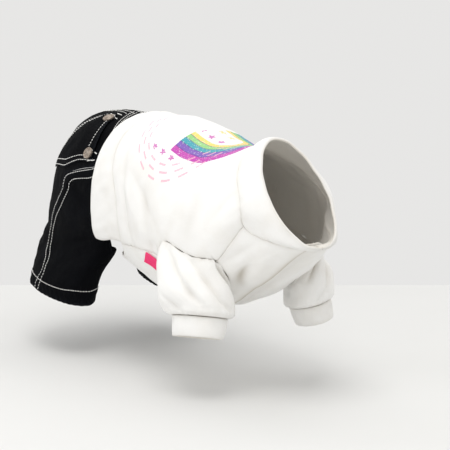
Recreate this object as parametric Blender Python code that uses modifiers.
"""A small dog's jumpsuit: a white fleece sweatshirt sewn to black denim trousers, in its worn form.

Metres, +X towards the neck, +Y to the wearer's left, +Z up.
The origin is on the inside of the back, on the centre line, where the garment sits on the wearer.
Every cloth surface below is the garment's outer face, and its wall grows inwards from there.
"""

import math

import bmesh
import bpy
import numpy as np
from mathutils import Vector

# Sweatshirt
BACK_LENGTH = 0.188
SEAT_TO_HEM = 0.085
CHEST_DEPTH = 0.170
CHEST_WIDTH = 0.146
FLEECE_WALL = 0.0024
SEAM_GAP = 0.0003
BAND_WIDTH = 0.031
BAND_WALL = 0.0026
BAND_PUFF = 0.0015
SAG_TURN = math.radians(118)
SAG_REACH = math.radians(27)
PLACKET_LAP = 0.012

# Collar
COLLAR_WALL = 0.0026
COLLAR_BACK_HEIGHT = 0.030
COLLAR_BACK_LEAN = math.radians(20)
COLLAR_TIP_RISE = 0.012
COLLAR_OPENING_WIDTH = 0.067
COLLAR_ROLL = 0.0014
COLLAR_WIDEST = 0.45
COLLAR_SLIT_TURN = math.radians(1)

# Sleeves and cuffs
ARMHOLE_LENGTH = 0.094
ARMHOLE_TO_COLLAR = 0.029
ARMHOLE_RISE = math.radians(13)
ARMHOLE_FALL = math.radians(34)
SLEEVE_LENGTHWAYS = 0.077
SLEEVE_CROSSWAYS = 0.054
SLEEVE_INSIDE = 0.66
SLEEVE_FOLD_DEPTH = 0.0045
CUFF_REACH = 0.105
CUFF_SPREAD = 0.067
CUFF_DROP = 0.183
CUFF_HEIGHT = 0.019
CUFF_LENGTHWAYS = 0.052
CUFF_CROSSWAYS = 0.035
CUFF_FLARE = 0.0025
CUFF_WALL = 0.0024
CUFF_LEAN_FORWARD = 0.167
CUFF_LEAN_OUT = 0.237
TOE_IN = math.radians(20)

# Trousers
TROUSER_LENGTH = 0.150
HIP_WIDTH = 0.134
LEG_DROP = 0.187
WAIST_TUCK = 0.026
DENIM_WALL = 0.0016
POCKET_WALL = 0.0014
POCKET_CLEARANCE = 0.0010
BUTTON_DIAMETER = 0.0115
BUTTON_HEIGHT = 0.0026

# Side label
LABEL_LENGTH = 0.016
LABEL_WIDTH = 0.013
LABEL_SKEW = 0.008
LABEL_WALL = 0.0006
LABEL_FROM_HEM = 0.100

# Each trunk row is a section from the hem to the collar seam. "back" is its place along the back and
# "belly" along the belly, as shares of BACK_LENGTH. "top" and "low" are the heights of its top and
# bottom as shares of CHEST_DEPTH, "half" is its half width as a share of CHEST_WIDTH, "widest" is how
# far up it is widest, and "over" and "under" say how square it is above and below there. "sag" is how
# far its sides fall back low down, as a share of BACK_LENGTH.
TRUNK_COLUMNS = ("back", "top", "belly", "low", "half", "widest", "over", "under", "sag")
TRUNK = (
    (0.000, 0.022, 0.000, -0.770, 0.478, 0.36, 2.15, 4.00, 0.000),
    (0.170, 0.022, 0.125, -0.850, 0.440, 0.50, 2.15, 3.00, 0.000),
    (0.345, 0.026, 0.320, -0.935, 0.465, 0.48, 2.10, 2.50, 0.000),
    (0.530, -0.004, 0.550, -0.985, 0.497, 0.47, 2.15, 2.25, 0.000),
    (0.710, -0.070, 0.830, -0.978, 0.503, 0.46, 2.15, 2.20, 0.000),
    (0.870, -0.098, 1.150, -0.810, 0.478, 0.40, 1.95, 2.20, 0.020),
    (1.000, -0.080, 1.463, -0.562, 0.345, 0.40, 1.70, 2.40, 0.122),
)

# Each seam row is a place on the side seam and, past the armhole, on the shoulder seam: its share along
# the back and its turn from the spine in degrees.
SEAM_COLUMNS = ("along", "turn")
SIDE_SEAM = (
    (0.00, 124),
    (0.17, 119),
    (0.45, 109),
    (0.68, 107),
    (0.88, 121),
    (1.00, 112),
)

# Each edge row is a point on the seam between the hem band and the panels: its turn from the spine in
# degrees and its share along the back. The band grows wider down the flank.
BAND_COLUMNS = ("turn", "along")
BAND_EDGE = (
    (0, 0.150),
    (57, 0.150),
    (70, 0.170),
    (81, 0.204),
    (92, 0.245),
    (116, 0.270),
)

# Each dent row is a soft valley in the trunk's side between two points, each given by its share along
# the back and its turn from the spine in degrees, then its reach along the surface and its depth as
# shares of CHEST_WIDTH. The same row makes the valley on both sides.
DENT_COLUMNS = ("along_a", "turn_a", "along_b", "turn_b", "reach", "depth")
TRUNK_DENTS = (
    (0.25, 48, 0.42, 108, 0.050, 0.016),
    (0.52, 60, 0.60, 112, 0.060, 0.012),
    (0.90, 60, 0.80, 100, 0.060, 0.014),
)

# Each sleeve row is a ring between the armhole (0) and the cuff seam (1): how far the armhole's own
# outline has given way to an oval, how far the oval has grown from the cuff's size to the sleeve's,
# and how far the ring's centre has moved from the armhole's centre to the cuff's.
SLEEVE_COLUMNS = ("along", "oval", "grown", "moved")
SLEEVE = (
    (0.00, 0.00, 0.92, 0.00),
    (0.14, 0.25, 1.08, 0.14),
    (0.34, 0.70, 1.15, 0.38),
    (0.58, 1.00, 1.08, 0.62),
    (0.80, 1.00, 1.00, 0.82),
    (0.93, 1.00, 0.82, 0.94),
    (1.00, 1.00, 0.00, 1.00),
)

# Each fold row is a valley that runs round the sleeve: where it starts and ends, in turns round the
# sleeve from its front and as shares of its length, its reach in turns and its share of the depth.
FOLD_COLUMNS = ("turn_a", "along_a", "turn_b", "along_b", "reach", "depth")
SLEEVE_FOLDS = (
    (0.66, 0.02, 0.84, 0.78, 0.055, 1.00),
    (0.80, 0.04, 0.94, 0.76, 0.050, 0.90),
    (0.97, 0.02, 1.08, 0.46, 0.060, 1.20),
)

# Each hip row is a line from the waist round the hip to the rear edge. "turn" is where it leaves the
# waist, turned from the spine in degrees. "side", "corner" and "rear" are its later points: x behind
# the waist as a share of TROUSER_LENGTH, y outwards as a share of half HIP_WIDTH, and z down from the
# seat as a share of LEG_DROP.
HIP_COLUMNS = (
    "turn", "side_x", "side_y", "side_z", "corner_x", "corner_y", "corner_z", "rear_x", "rear_y", "rear_z",
)
HIP_ROWS = {
    "spine": (0, 0.44, 0.00, -0.030, 0.73, 0.00, -0.002, 0.92, 0.00, 0.085),
    "high hip": (30, 0.46, 0.50, 0.020, 0.76, 0.45, 0.060, 0.945, 0.26, 0.160),
    "hip": (52, 0.49, 0.82, 0.135, 0.81, 0.68, 0.205, 0.975, 0.32, 0.330),
    "yoke seam": (67, 0.52, 0.97, 0.265, 0.860, 0.76, 0.320, 0.975, 0.42, 0.430),
    "thigh": (98, 0.53, 1.07, 0.490, 0.860, 0.88, 0.530, 0.955, 0.55, 0.580),
}

# Each leg row is an oval ring: its centre behind the waist and outwards, its half length and half
# width, how far its front turns in, and its height at the front and at the rear, in the same shares.
LEG_COLUMNS = ("centre_x", "centre_y", "half_length", "half_width", "front_in", "front_z", "rear_z")
LEG_ROWS = {
    "crotch": (0.540, 0.80, 0.480, 0.27, 0.135, 0.700, 0.705),
    "knee": (0.560, 0.92, 0.412, 0.34, 0.030, 0.850, 0.810),
    "hem": (0.572, 1.03, 0.358, 0.36, 0.000, 1.000, 0.920),
}
ROW_NAMES = (*HIP_ROWS, *LEG_ROWS)
YOKE_ROW = ROW_NAMES.index("yoke seam")
THIGH_ROW = ROW_NAMES.index("thigh")
CROTCH_ROW = ROW_NAMES.index("crotch")
HEM_ROW = ROW_NAMES.index("hem")

# Stations round a trouser row: the waist or front edge, the side, the rear and the inside of the leg.
FRONT_EDGE = 0
SIDE = 2
BACK_SEAM = 2.4
REAR_EDGE = 4
INSEAM = 6
LAST_STATION = 7
STATIONS_ROUND = 8

# The pocket on each side of the seat, in trouser rows down and in stations from front to rear.
POCKET_TOP_ROW = 0.55
POCKET_LOW_ROW = 2.78
POCKET_MOUTH_TOP = 1.72
POCKET_MOUTH_LOW = 1.36
POCKET_END = 3.30
POCKET_CORNER = 0.30
UPPER_BUTTON_ROW = 0.78
UPPER_BUTTON_STATION = 1.84
LOWER_BUTTON_ROW = 2.40
LOWER_BUTTON_STATION = 1.55

ROUND_SIDES = 14
TRUNK_STEPS = 6
ARMHOLE_STEPS = 10
BACK_TURNS = 20
FRONT_TURNS = 6
COLLAR_STEPS = 4
COLLAR_EDGE = 0.08
EDGE_STEP = 0.012
EDGE_TURN = math.radians(2)
SLEEVE_STEPS = 9
CUFF_STEPS = 2
TROUSER_STEP = 1 / 3
POCKET_COLUMNS = 7

WHITE = (0.86, 0.85, 0.83)
BLACK = (0.012, 0.013, 0.016)
PINK = (0.86, 0.06, 0.22)
BRONZE = (0.32, 0.24, 0.18)


def clear_scene():
    for thing in list(bpy.data.objects):
        bpy.data.objects.remove(thing, do_unlink=True)


def new_collection(name):
    collection = bpy.data.collections.new(name)
    bpy.context.scene.collection.children.link(collection)
    return collection


def material(name, colour, roughness, metallic=0.0):
    made = bpy.data.materials.new(name)
    made.use_nodes = True
    shader = made.node_tree.nodes["Principled BSDF"]
    shader.inputs["Base Color"].default_value = (*colour, 1.0)
    shader.inputs["Roughness"].default_value = roughness
    shader.inputs["Metallic"].default_value = metallic
    return made


def smooth_row(keys, rows, at):
    """One row read from a table between its own rows, on a curve through them."""
    keys = np.asarray(keys, float)
    rows = np.asarray(rows, float)
    slopes = np.gradient(rows, keys, axis=0)
    i = int(np.clip(np.searchsorted(keys, at, side="right") - 1, 0, len(keys) - 2))
    step = keys[i + 1] - keys[i]
    t = (at - keys[i]) / step
    start = (2 * t**3 - 3 * t**2 + 1) * rows[i] + (t**3 - 2 * t**2 + t) * step * slopes[i]
    end = (3 * t**2 - 2 * t**3) * rows[i + 1] + (t**3 - t**2) * step * slopes[i + 1]
    return start + end


def power(value, exponent):
    return math.copysign(abs(value) ** exponent, value)


def ease(share):
    share = min(max(share, 0.0), 1.0)
    return share * share * (3 - 2 * share)


def valley(across, along, row, reach):
    """How deep a valley is at a point, from 0 to 1, between the two ends that its row names."""
    a = np.array(row[0:2], float)
    b = np.array(row[2:4], float)
    run = b - a
    here = np.array([across, along]) - a
    share = min(max(float(here @ run / (run @ run)), 0.0), 1.0)
    away = np.linalg.norm((here - run * share) / reach)
    return math.exp(-away * away)


def trunk_section(along):
    """The section there: its top and bottom in side view, half width, widest height and the rest."""
    row = smooth_row([r[0] for r in TRUNK], TRUNK, along)
    _, top_z, belly_x, low_z, half, widest, over, under, sag = row
    top = np.array([along * BACK_LENGTH - SEAT_TO_HEM, top_z * CHEST_DEPTH + FLEECE_WALL])
    low = np.array([belly_x * BACK_LENGTH - SEAT_TO_HEM, low_z * CHEST_DEPTH])
    return top, low, half * CHEST_WIDTH, widest, over, under, sag * BACK_LENGTH


def section_point(section, turn):
    """A point on a section, turned from its top (0) down the right side (+) or left side (-)."""
    top, low, half, widest, over, under, sag = section
    full = over if math.cos(turn) > 0 else under
    up = power(math.cos(turn), 2 / full)
    height = widest + up * ((1 - widest) if up > 0 else widest)
    middle = low + (top - low) * height
    out = power(math.sin(turn), 2 / full) * half
    back = sag * math.exp(-(((abs(turn) - SAG_TURN) / SAG_REACH) ** 2))
    return np.array([middle[0] - back, -out, middle[1]])


def trunk(along, turn):
    """A point on the sweatshirt's outer face, from the hem (0) to the collar seam (1)."""
    section = trunk_section(along)
    point = section_point(section, turn)
    top, low, _, widest = section[:4]
    middle = low + (top - low) * widest
    inward = np.array([middle[0], 0.0, middle[1]]) - point
    inward /= np.linalg.norm(inward)
    depth = 0.0
    for row in TRUNK_DENTS:
        degrees = abs(math.degrees(turn))
        reach = np.array([row[4] * CHEST_WIDTH / BACK_LENGTH, math.degrees(row[4] * 2)])
        depth += row[5] * valley(along, degrees, row, reach)
    return point + inward * depth * CHEST_WIDTH


def trunk_normal(along, turn):
    step = 1e-3
    lengthways = trunk(min(along + step, 1), turn) - trunk(max(along - step, 0), turn)
    across = trunk(along, turn + step) - trunk(along, turn - step)
    normal = np.cross(across, lengthways)
    return normal / np.linalg.norm(normal)


def trunk_out(along, turn, lift):
    return trunk(along, turn) + trunk_normal(along, turn) * lift


def turn_of(along, turn, distance):
    """The turn that moves a point round the trunk by this distance."""
    step = 1e-3
    return distance * 2 * step / np.linalg.norm(trunk(along, turn + step) - trunk(along, turn - step))


def seam_turn(along):
    """The turn of the side and shoulder seam at a place along the back."""
    return math.radians(smooth_row([r[0] for r in SIDE_SEAM], SIDE_SEAM, along)[1])


def seam_gap_turn(along, gap=None):
    return turn_of(along, seam_turn(along), SEAM_GAP if gap is None else gap)


def side_run(start, end):
    """The length along the side seam line between two places."""
    run = [trunk(along, seam_turn(along)) for along in np.linspace(start, end, 9)]
    return sum(np.linalg.norm(b - a) for a, b in zip(run, run[1:]))


BAND_SEAM = BAND_WIDTH / BACK_LENGTH
SIDE_STRETCH = side_run(0.6, 1.0) / 0.4
ARMHOLE_FRONT = 1 - ARMHOLE_TO_COLLAR / SIDE_STRETCH
ARMHOLE_REAR = ARMHOLE_FRONT - ARMHOLE_LENGTH / SIDE_STRETCH
ARMHOLE_MIDDLE = (ARMHOLE_FRONT + ARMHOLE_REAR) / 2
ARMHOLE_HALF = (ARMHOLE_FRONT - ARMHOLE_REAR) / 2


def trunk_stations():
    """Places along the back that the panels are made at, closer together at the armhole's ends."""
    before = np.linspace(BAND_SEAM, ARMHOLE_REAR, TRUNK_STEPS, endpoint=False)
    before = [BAND_SEAM, BAND_SEAM + EDGE_STEP, *before[1:]]
    turns = np.linspace(math.pi, 0, ARMHOLE_STEPS + 1)
    beside = ARMHOLE_MIDDLE + ARMHOLE_HALF * np.cos(turns)
    return [*before, *beside, 1.0 - EDGE_STEP, 1.0]


def armhole_share(along):
    """How far the armhole has opened at this place, from 0 at its ends to 1 at its middle."""
    across = (along - ARMHOLE_MIDDLE) / ARMHOLE_HALF
    return math.sqrt(max(0.0, 1 - across**2))


def sheet_mesh(name, rows, wanted=None, closed=False):
    """An open sheet through rows of points. "wanted" picks the cells that are cloth."""
    count = len(rows[0])
    points = [tuple(float(x) for x in p) for row in rows for p in row]
    faces = []
    for i in range(len(rows) - 1):
        for j in range(count if closed else count - 1):
            k = (j + 1) % count
            if wanted is None or wanted(i, j):
                faces.append((i * count + j, i * count + k, (i + 1) * count + k, (i + 1) * count + j))
    mesh = bpy.data.meshes.new(name)
    mesh.from_pydata(points, [], faces)
    return mesh


def tidy_sheet(mesh, flip):
    """Welds the sheet, drops loose points and turns its faces to the outside."""
    work = bmesh.new()
    work.from_mesh(mesh)
    bmesh.ops.remove_doubles(work, verts=work.verts, dist=1e-6)
    loose = [v for v in work.verts if not v.link_faces]
    bmesh.ops.delete(work, geom=loose, context="VERTS")
    if flip:
        bmesh.ops.reverse_faces(work, faces=work.faces)
    work.to_mesh(mesh)
    work.free()


def cloth(mesh, wall, finish, flip):
    """An object from an open sheet, with its wall grown inwards."""
    tidy_sheet(mesh, flip)
    mesh.materials.append(finish)
    mesh.shade_smooth()
    piece = bpy.data.objects.new(mesh.name, mesh)
    garment.objects.link(piece)
    thick = piece.modifiers.new("wall", "SOLIDIFY")
    thick.thickness = wall
    thick.offset = -1.0
    return piece


def to_side(points, side):
    """Pieces are worked out for the wearer's right side, and the left is their mirror image."""
    return [(p[0], p[1] * side, p[2]) for p in points]


def band_edge(turn):
    """Where the hem band ends and the panels start, as a place along the back."""
    degrees = min(abs(math.degrees(turn)), BAND_EDGE[-1][0])
    return smooth_row([r[0] for r in BAND_EDGE], BAND_EDGE, degrees)[1]


def panel_along(along, start):
    """Behind the armhole a panel's places close up or spread out, so that it starts at its own edge."""
    if along >= ARMHOLE_REAR:
        return along
    return start + (along - BAND_SEAM) * (ARMHOLE_REAR - start) / (ARMHOLE_REAR - BAND_SEAM)


def edged_turns(start, end, count):
    """Evenly spaced turns with a narrow step at each end, so that two panels meet on one slope."""
    return [start, start + EDGE_TURN, *np.linspace(start, end, count + 1)[1:-1], end - EDGE_TURN, end]


def back_panel():
    rows = []
    for station in trunk_stations():
        along = panel_along(station, BAND_EDGE[-1][1])
        edge = seam_turn(along) - seam_gap_turn(along, SEAM_GAP / 2)
        edge -= ARMHOLE_RISE * armhole_share(station)
        row = []
        for turn in edged_turns(-edge, edge, BACK_TURNS):
            row.append(trunk(panel_along(station, band_edge(turn)), turn))
        rows.append(row)
    cloth(sheet_mesh("shirt_back_panel", rows), FLEECE_WALL, white_fleece, flip=False)


def front_panel(side, word):
    """One half of the belly and chest. The right one laps over the left one down the centre line."""
    rows = []
    for station in trunk_stations():
        along = panel_along(station, BAND_EDGE[-1][1])
        start = seam_turn(along) + seam_gap_turn(along, SEAM_GAP / 2)
        start += ARMHOLE_FALL * armhole_share(station)
        lap = turn_of(along, math.pi - 0.05, PLACKET_LAP / 2)
        turns = [*edged_turns(start, math.pi - 2.2 * lap, FRONT_TURNS)[:-2], math.pi - 2.2 * lap]
        row = []
        for turn in (*turns, math.pi - lap, math.pi, math.pi + lap):
            near = ease((turn - (math.pi - 2.2 * lap)) / (1.1 * lap))
            sink = 0.0 if side > 0 else (FLEECE_WALL + SEAM_GAP) * 1.15 * near
            centre = ease((turn - seam_turn(along)) / (math.pi - seam_turn(along)))
            edge = BAND_EDGE[-1][1] * (1 - centre)
            row.append(trunk_out(panel_along(station, edge), turn, -sink))
        rows.append(to_side(row, side))
    cloth(sheet_mesh(f"belly_panel_{word}", rows), FLEECE_WALL, white_fleece, flip=side < 0)


def hem_band():
    """A doubled band round the hem from side seam to side seam, puffed a little between its edges."""
    rows = []
    for share in (*np.linspace(0, 1, 4)[:3], 1 - EDGE_STEP / BAND_SEAM, 1):
        puff = BAND_PUFF * math.sin(math.pi * share) ** 2
        along = BAND_EDGE[-1][1] * share
        edge = seam_turn(along) - seam_gap_turn(along, SEAM_GAP / 2)
        row = []
        for turn in edged_turns(-edge, edge, BACK_TURNS):
            place = (band_edge(turn) - SEAM_GAP / BACK_LENGTH) * share
            row.append(trunk_out(place, turn, puff))
        rows.append(row)
    cloth(sheet_mesh("hem_band", rows), BAND_WALL, white_fleece, flip=False)


def collar_top(turn):
    """The collar's free edge: an oval round the neck that meets its seam at the tip in front."""
    top, low = trunk_section(1.0)[:2]
    lean = np.array([math.cos(COLLAR_BACK_LEAN), math.sin(COLLAR_BACK_LEAN)])
    section = (
        top + lean * COLLAR_BACK_HEIGHT,
        low + np.array([COLLAR_TIP_RISE, 0.0]),
        COLLAR_OPENING_WIDTH / 2,
        COLLAR_WIDEST,
        2.0,
        2.0,
        0.0,
    )
    return section_point(section, turn)


def collar_point(height, turn):
    """A point on the collar: it leaves the seam along the shirt and curves in to its free edge."""
    start = trunk(1.0, turn)
    onward = start - trunk(0.995, turn)
    onward /= np.linalg.norm(onward)
    foot = start + onward * SEAM_GAP * 1.5
    edge = collar_top(turn)
    rise = edge - foot
    leave = onward * np.linalg.norm(rise) * 0.8
    t = height
    point = foot * (2 * t**3 - 3 * t**2 + 1) + leave * (t**3 - 2 * t**2 + t)
    point += edge * (3 * t**2 - 2 * t**3) + rise * (t**3 - t**2)
    return point + trunk_normal(1.0, turn) * COLLAR_ROLL * math.sin(math.pi * t) ** 2


def collar_band():
    """The collar runs once round the neck, and its two ends meet at the tip in front."""
    end = math.pi - COLLAR_SLIT_TURN
    heights = (0, COLLAR_EDGE, *np.linspace(COLLAR_EDGE, 1, COLLAR_STEPS)[1:])
    rows = [[collar_point(height, turn) for turn in np.linspace(-end, end, BACK_TURNS * 2)] for height in heights]
    cloth(sheet_mesh("collar_band", rows), COLLAR_WALL, white_fleece, flip=False)


def cuff_axis():
    """The way up the foreleg, which leans back and in from the cuff."""
    axis = np.array([-CUFF_LEAN_FORWARD, CUFF_LEAN_OUT, 1.0])
    return axis / np.linalg.norm(axis)


def oval_frame(axis):
    """The oval's long way, turned in at the toe, and its short way, towards the other leg."""
    long_way = np.array([math.cos(TOE_IN), math.sin(TOE_IN), 0.0])
    long_way -= axis * (axis @ long_way)
    long_way /= np.linalg.norm(long_way)
    return long_way, np.cross(axis, long_way)


def cuff_bottom():
    return np.array([CUFF_REACH, -CUFF_SPREAD, -CUFF_DROP])


def armhole_point(turn):
    """The sleeve's own edge: turned from the armhole's front, inwards under it and round."""
    slack = SEAM_GAP / SIDE_STRETCH
    along = ARMHOLE_MIDDLE + (ARMHOLE_HALF - slack) * math.cos(turn)
    fall = math.sin(turn) * (ARMHOLE_FALL if math.sin(turn) > 0 else ARMHOLE_RISE)
    gap = seam_gap_turn(along) * math.sin(turn)
    return trunk(along, seam_turn(along) + fall - gap)


def sleeve_point(along, turn):
    _, oval, grown, moved = smooth_row([r[0] for r in SLEEVE], SLEEVE, along)
    axis = cuff_axis()
    long_way, short_way = oval_frame(axis)
    seam = cuff_bottom() + axis * (CUFF_HEIGHT + SEAM_GAP * 2)
    hole = sum(armhole_point(t) for t in np.linspace(0, 2 * math.pi, 12, endpoint=False)) / 12
    centre = hole + (seam - hole) * moved
    half_long = CUFF_LENGTHWAYS / 2 + CUFF_FLARE
    half_short = CUFF_CROSSWAYS / 2 + CUFF_FLARE
    half_long += (SLEEVE_LENGTHWAYS / 2 - half_long) * grown
    half_short += (SLEEVE_CROSSWAYS / 2 - half_short) * grown
    if math.sin(turn) > 0:
        half_short *= SLEEVE_INSIDE + (1 - SLEEVE_INSIDE) * ease((along - 0.6) / 0.4)
    ring = centre + long_way * half_long * math.cos(turn) + short_way * half_short * math.sin(turn)
    from_hole = armhole_point(turn) + (seam - hole) * moved
    point = from_hole + (ring - from_hole) * oval
    depth = 0.0
    for row in SLEEVE_FOLDS:
        for lap in (-1, 0, 1):
            here = turn / (2 * math.pi) + lap
            depth += row[5] * valley(here, along, row, np.array([row[4], row[4] * 2.5]))
    fade = ease(along / 0.12) * ease((1 - along) / 0.15)
    inward = centre - point
    inward /= np.linalg.norm(inward)
    return point + inward * depth * fade * SLEEVE_FOLD_DEPTH


def sleeve(side, word):
    turns = np.linspace(0, 2 * math.pi, 2 * ARMHOLE_STEPS, endpoint=False)
    rows = []
    for along in np.linspace(0, 1, SLEEVE_STEPS + 1):
        rows.append(to_side([sleeve_point(along, turn) for turn in turns], side))
    mesh = sheet_mesh(f"sleeve_{word}", rows, closed=True)
    cloth(mesh, FLEECE_WALL, white_fleece, flip=side > 0)


def cuff(side, word):
    axis = cuff_axis()
    long_way, short_way = oval_frame(axis)
    rows = []
    for share in np.linspace(1, 0, CUFF_STEPS + 1):
        centre = cuff_bottom() + axis * CUFF_HEIGHT * share
        half_long = CUFF_LENGTHWAYS / 2 + CUFF_FLARE * share
        half_short = CUFF_CROSSWAYS / 2 + CUFF_FLARE * share
        row = []
        for turn in np.linspace(0, 2 * math.pi, 2 * ARMHOLE_STEPS, endpoint=False):
            row.append(centre + long_way * half_long * math.cos(turn) + short_way * half_short * math.sin(turn))
        rows.append(to_side(row, side))
    cloth(sheet_mesh(f"cuff_{word}", rows, closed=True), CUFF_WALL, white_fleece, flip=side > 0)


def behind_waist(x, y, z):
    """A point from its shares of the trousers' own sizes."""
    waist = WAIST_TUCK - SEAT_TO_HEM
    return np.array([waist - x * TROUSER_LENGTH, -y * HIP_WIDTH / 2, -z * LEG_DROP])


def hip_row(turn, *shares):
    """Eleven stations: three ahead of the waist to set its run, the waist, the hem's edge, and so on."""
    turn = math.radians(turn)
    inside = BAND_WALL + SEAM_GAP * 4.5
    waist = WAIST_TUCK / BACK_LENGTH
    points = [trunk_out(waist + ahead, turn, -inside) for ahead in (0.15, 0.10, 0.05, 0.0)]
    points.append(trunk_out(0.0, turn, -inside))
    points += [behind_waist(*shares[i : i + 3]) for i in (0, 3, 6)]
    onward = (points[-1] - points[-2]) * 0.5
    points += [points[-1] + onward * k for k in (1, 2, 3)]
    return points


def leg_row(centre_x, centre_y, half_length, half_width, front_in, front_z, rear_z):
    """Eleven stations round an oval ring, from inside its front, round the outside, to inside."""
    points = []
    for station in range(-3, LAST_STATION + 1):
        turn = math.radians(45 * station)
        tall = (1 - math.cos(turn)) / 2
        z = front_z + (rear_z - front_z) * tall
        x = centre_x - half_length * math.cos(turn)
        y = centre_y + half_width * math.sin(turn) - front_in * (1 - tall)
        points.append(behind_waist(x, y, z))
    return points


def trouser_cage():
    rows = [hip_row(*shares) for shares in HIP_ROWS.values()]
    rows += [leg_row(*shares) for shares in LEG_ROWS.values()]
    thigh, crotch = rows[THIGH_ROW], rows[CROTCH_ROW]
    front = thigh[3 + FRONT_EDGE] - crotch[3 + FRONT_EDGE]
    rear = thigh[3 + REAR_EDGE] - crotch[3 + REAR_EDGE]
    for i, station in enumerate(range(-3, LAST_STATION + 1)):
        if not FRONT_EDGE <= station <= REAR_EDGE:
            share = (station % STATIONS_ROUND - REAR_EDGE) / (STATIONS_ROUND - REAR_EDGE)
            thigh[i] = crotch[i] + rear * (1 - share) + front * share
    mirrored = [p * (1, -1, 1) for p in rows[1]]
    return np.array([mirrored, *rows])


def trouser(down, station, cage=None):
    """A point on the right half of the trousers: "down" counts rows from the spine to the hem."""
    cage = trouser_cage() if cage is None else cage
    row = smooth_row(range(-1, HEM_ROW + 1), cage, down)
    return smooth_row(range(-3, LAST_STATION + 1), row, station)


def trouser_normal(down, station):
    cage = trouser_cage()
    step = 1e-3
    below = min(down + step, HEM_ROW)
    downwards = trouser(below, station, cage) - trouser(below - 2 * step, station, cage)
    rearwards = trouser(down, station + step, cage) - trouser(down, station - step, cage)
    normal = np.cross(rearwards, downwards)
    return normal / np.linalg.norm(normal)


def trouser_panel(name, side, downs, stations, wanted):
    cage = trouser_cage()
    rows = [to_side([trouser(d, s, cage) for s in stations], side) for d in downs]

    def cell(i, j):
        return wanted((downs[i] + downs[i + 1]) / 2, (stations[j] + stations[j + 1]) / 2)

    cloth(sheet_mesh(name, rows, wanted=cell), DENIM_WALL, black_denim, flip=side < 0)


def gap_in(down, station, across_down):
    """The step in rows or in stations that makes half a seam gap."""
    cage = trouser_cage()
    step = 1e-3
    here = trouser(down, station, cage)
    there = trouser(down + step, station, cage) if across_down else trouser(down, station + step, cage)
    return SEAM_GAP * 0.6 * step / np.linalg.norm(there - here)


def trouser_steps(start, end):
    """Even steps between two rows or stations, without the two themselves."""
    count = math.ceil((end - start) / TROUSER_STEP - 0.2)
    return [float(step) for step in np.linspace(start, end, count + 1)[1:-1]]


def seat_panel(side, word):
    """The seat and the back of one leg in one panel, from the centre back seam to the hem."""
    top_gap = gap_in(0.0, REAR_EDGE, True) * 2
    seam_gap = gap_in(YOKE_ROW, SIDE, True)
    back_gap = gap_in(CROTCH_ROW, BACK_SEAM, False) * 1.3
    inseam_gap = gap_in(HEM_ROW - 1, INSEAM, False) * 1.3
    upper = [top_gap, 0.1, *trouser_steps(0, YOKE_ROW)]
    downs = [*upper, YOKE_ROW - seam_gap, *trouser_steps(YOKE_ROW, HEM_ROW), HEM_ROW]
    stations = [
        FRONT_EDGE,
        *trouser_steps(FRONT_EDGE, BACK_SEAM),
        BACK_SEAM + back_gap,
        *trouser_steps(BACK_SEAM, INSEAM),
        INSEAM - inseam_gap,
    ]

    def wanted(down, station):
        if down < YOKE_ROW - seam_gap:
            return station < REAR_EDGE
        if down < CROTCH_ROW:
            return BACK_SEAM < station < REAR_EDGE
        return station > BACK_SEAM

    trouser_panel(f"jeans_seat_{word}", side, downs, stations, wanted)


def leg_panel(side, word):
    """The outside and front of one leg, below the yoke seam and ahead of the back seam."""
    seam_gap = gap_in(YOKE_ROW, SIDE, True)
    back_gap = gap_in(CROTCH_ROW, BACK_SEAM, False) * 1.3
    inseam_gap = gap_in(HEM_ROW - 1, INSEAM, False) * 1.3
    downs = [YOKE_ROW + seam_gap, *trouser_steps(YOKE_ROW, HEM_ROW), HEM_ROW]
    lap = INSEAM - STATIONS_ROUND
    stations = [lap + inseam_gap, *trouser_steps(lap, BACK_SEAM), BACK_SEAM - back_gap]

    def wanted(down, station):
        return down > CROTCH_ROW or station > FRONT_EDGE

    trouser_panel(f"jeans_leg_{word}", side, downs, stations, wanted)


def pocket_point(down, station, lift):
    return trouser(down, station) + trouser_normal(down, station) * lift


def pocket_mouth(down):
    """The pocket's mouth leans: its upper corner lies further back than its lower one."""
    share = (down - POCKET_TOP_ROW) / (POCKET_LOW_ROW - POCKET_TOP_ROW)
    return POCKET_MOUTH_TOP + (POCKET_MOUTH_LOW - POCKET_MOUTH_TOP) * share


def pocket(side, word):
    """A patch pocket on the seat, its mouth to the front and its rear corners cut off."""
    between = [d for d in np.arange(0, HEM_ROW, TROUSER_STEP) if POCKET_TOP_ROW < d < POCKET_LOW_ROW - 0.1]
    middle = (POCKET_TOP_ROW + POCKET_LOW_ROW) / 2
    half = (POCKET_LOW_ROW - POCKET_TOP_ROW) / 2
    lift = POCKET_WALL + POCKET_CLEARANCE
    rows = []
    for down in (POCKET_TOP_ROW, *between, POCKET_LOW_ROW):
        mouth = pocket_mouth(down)
        edge = abs(down - middle) / half
        end = POCKET_END - POCKET_CORNER * edge**3
        stations = np.linspace(mouth, end, POCKET_COLUMNS)
        rows.append(to_side([pocket_point(down, station, lift) for station in stations], side))
    cloth(sheet_mesh(f"pocket_{word}", rows), POCKET_WALL, black_denim, flip=side < 0)


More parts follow.
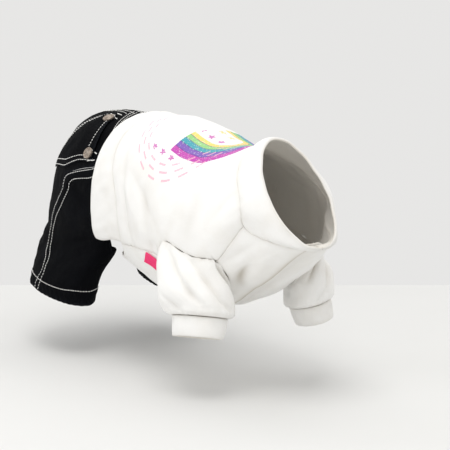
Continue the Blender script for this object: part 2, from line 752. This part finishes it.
def button(side, word, place, down, station):
    """A shallow domed metal button on a pocket's corner."""
    normal = trouser_normal(down, station)
    seat = pocket_point(down, station, POCKET_WALL + POCKET_CLEARANCE + SEAM_GAP)
    work = bmesh.new()
    profile = ((0.0, 0.80), (0.35, 1.00), (0.80, 0.86), (1.0, 0.45))
    rings = []
    for height, radius in profile:
        ring = []
        for k in range(ROUND_SIDES):
            turn = 2 * math.pi * k / ROUND_SIDES
            reach = radius * BUTTON_DIAMETER / 2
            ring.append(work.verts.new((reach * math.cos(turn), reach * math.sin(turn), height * BUTTON_HEIGHT)))
        rings.append(ring)
    for lower, upper in zip(rings, rings[1:]):
        for k in range(ROUND_SIDES):
            n = (k + 1) % ROUND_SIDES
            work.faces.new((lower[k], lower[n], upper[n], upper[k]))
    work.faces.new(rings[0][::-1])
    work.faces.new(rings[-1])
    mesh = bpy.data.meshes.new(f"button_{place}_{word}")
    work.to_mesh(mesh)
    work.free()
    mesh.materials.append(bronze)
    mesh.shade_smooth()
    piece = bpy.data.objects.new(mesh.name, mesh)
    garment.objects.link(piece)
    piece.location = Vector((seat[0], seat[1] * side, seat[2]))
    facing = Vector((normal[0], normal[1] * side, normal[2]))
    piece.rotation_euler = facing.to_track_quat("Z", "Y").to_euler()


def side_label():
    """A folded tape label sewn into the right side seam and hanging on the belly panel."""
    first = LABEL_FROM_HEM / BACK_LENGTH
    last = first + LABEL_LENGTH / BACK_LENGTH
    rows = []
    for along in np.linspace(first, last, 5):
        start = seam_turn(along) + seam_gap_turn(along, SEAM_GAP * 2)
        row = []
        for share in np.linspace(0, 1, 4):
            place = along - share * LABEL_SKEW / BACK_LENGTH
            turn = start + seam_gap_turn(along, LABEL_WIDTH) * share
            row.append(trunk_out(place, turn, LABEL_WALL + SEAM_GAP * 3))
        rows.append(row)
    cloth(sheet_mesh("side_label", rows), LABEL_WALL, pink_tape, flip=False)


def build():
    back_panel()
    hem_band()
    collar_band()
    side_label()
    for side, word in ((1, "right"), (-1, "left")):
        front_panel(side, word)
        sleeve(side, word)
        cuff(side, word)
        seat_panel(side, word)
        leg_panel(side, word)
        pocket(side, word)
        button(side, word, "upper", UPPER_BUTTON_ROW, UPPER_BUTTON_STATION)
        button(side, word, "lower", LOWER_BUTTON_ROW, LOWER_BUTTON_STATION)


clear_scene()
garment = new_collection("dog_jumpsuit")
white_fleece = material("white fleece", WHITE, 0.9)
black_denim = material("black denim", BLACK, 0.8)
pink_tape = material("pink tape", PINK, 0.6)
bronze = material("button metal", BRONZE, 0.4, metallic=0.9)
build()
